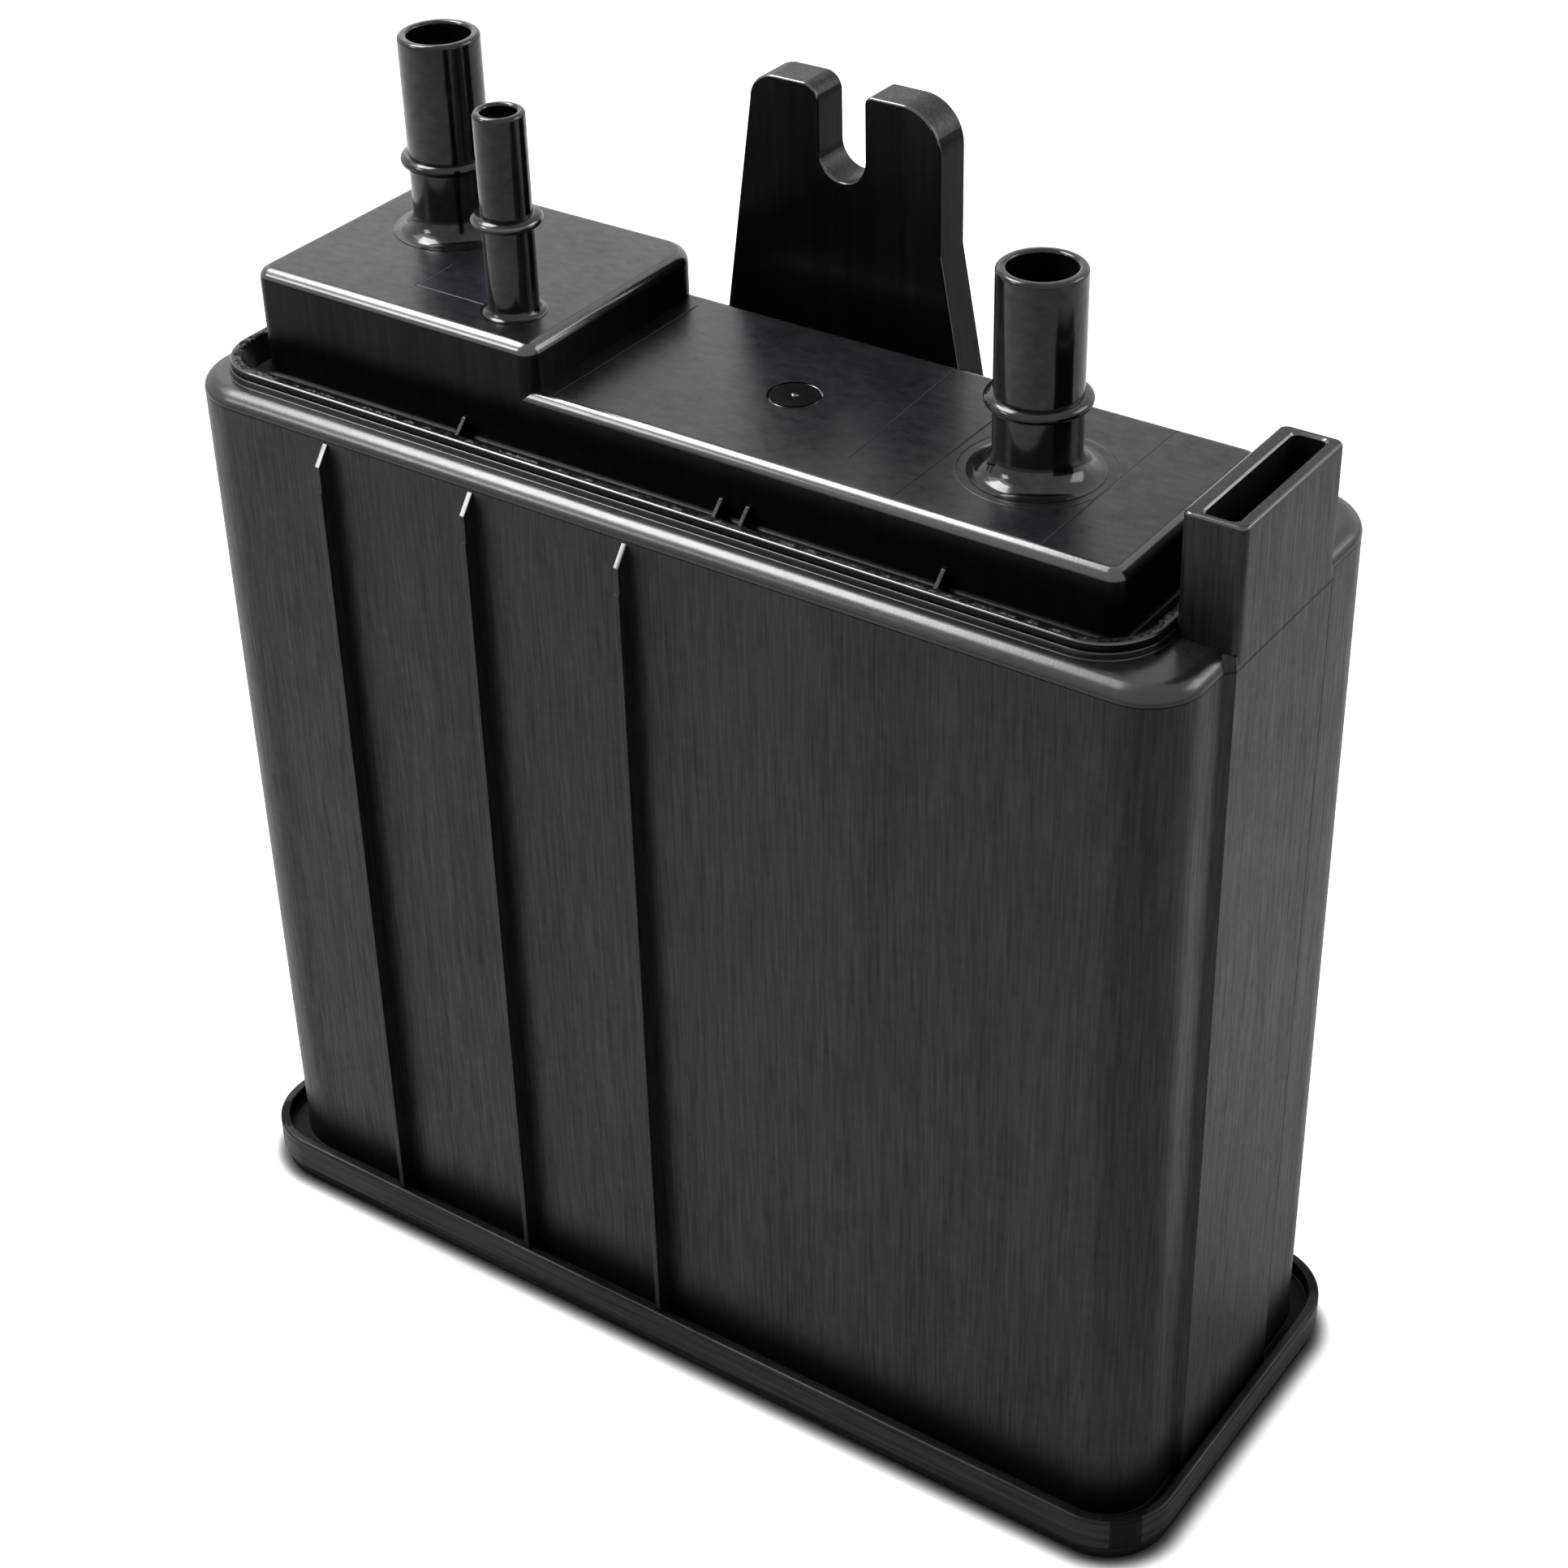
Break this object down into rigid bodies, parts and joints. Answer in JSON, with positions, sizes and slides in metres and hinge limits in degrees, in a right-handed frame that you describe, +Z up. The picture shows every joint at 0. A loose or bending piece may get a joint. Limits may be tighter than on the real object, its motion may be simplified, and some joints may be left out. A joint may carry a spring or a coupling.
{
  "type": "charcoal canister",
  "caption": "Fuel vapour charcoal canister: a tall black rounded housing with a welded cover, hose spigots, a slotted hanging tab and a bracket socket.",
  "frame": {"origin": "centre of the underside of the base", "axes": "+Z up, +X along the long front wall towards the end with the bracket socket, -Y the ribbed front"},
  "size_m": [0.2306, 0.0906, 0.2588],
  "materials": {
    "housing_plastic": "satin black polyamide with fine vertical drag marks",
    "cover_plastic": "glossy black polyamide",
    "base_plastic": "satin black polyamide",
    "carbon": "packed granules",
    "foam": "open-cell foam",
    "natural_plastic": "natural moulded polyamide",
    "spring_steel": "bright wire"
  },
  "bodies": {
    "root": {"housing": "housing_plastic", "top_cover": "cover_plastic", "bottom_cover": "base_plastic", "spring_left_front": "spring_steel", "spring_left_rear": "spring_steel", "spring_right_inner": "spring_steel", "spring_right_outer": "spring_steel", "pressure_plate_left": "natural_plastic", "pressure_plate_right": "natural_plastic", "lower_screen_left": "foam", "lower_screen_right": "foam", "carbon_bed_left": "carbon", "carbon_bed_right": "carbon", "upper_screen_left": "foam", "upper_screen_right": "foam", "support_grid_left": "natural_plastic", "support_grid_right": "natural_plastic"}
  },
  "joints": []
}
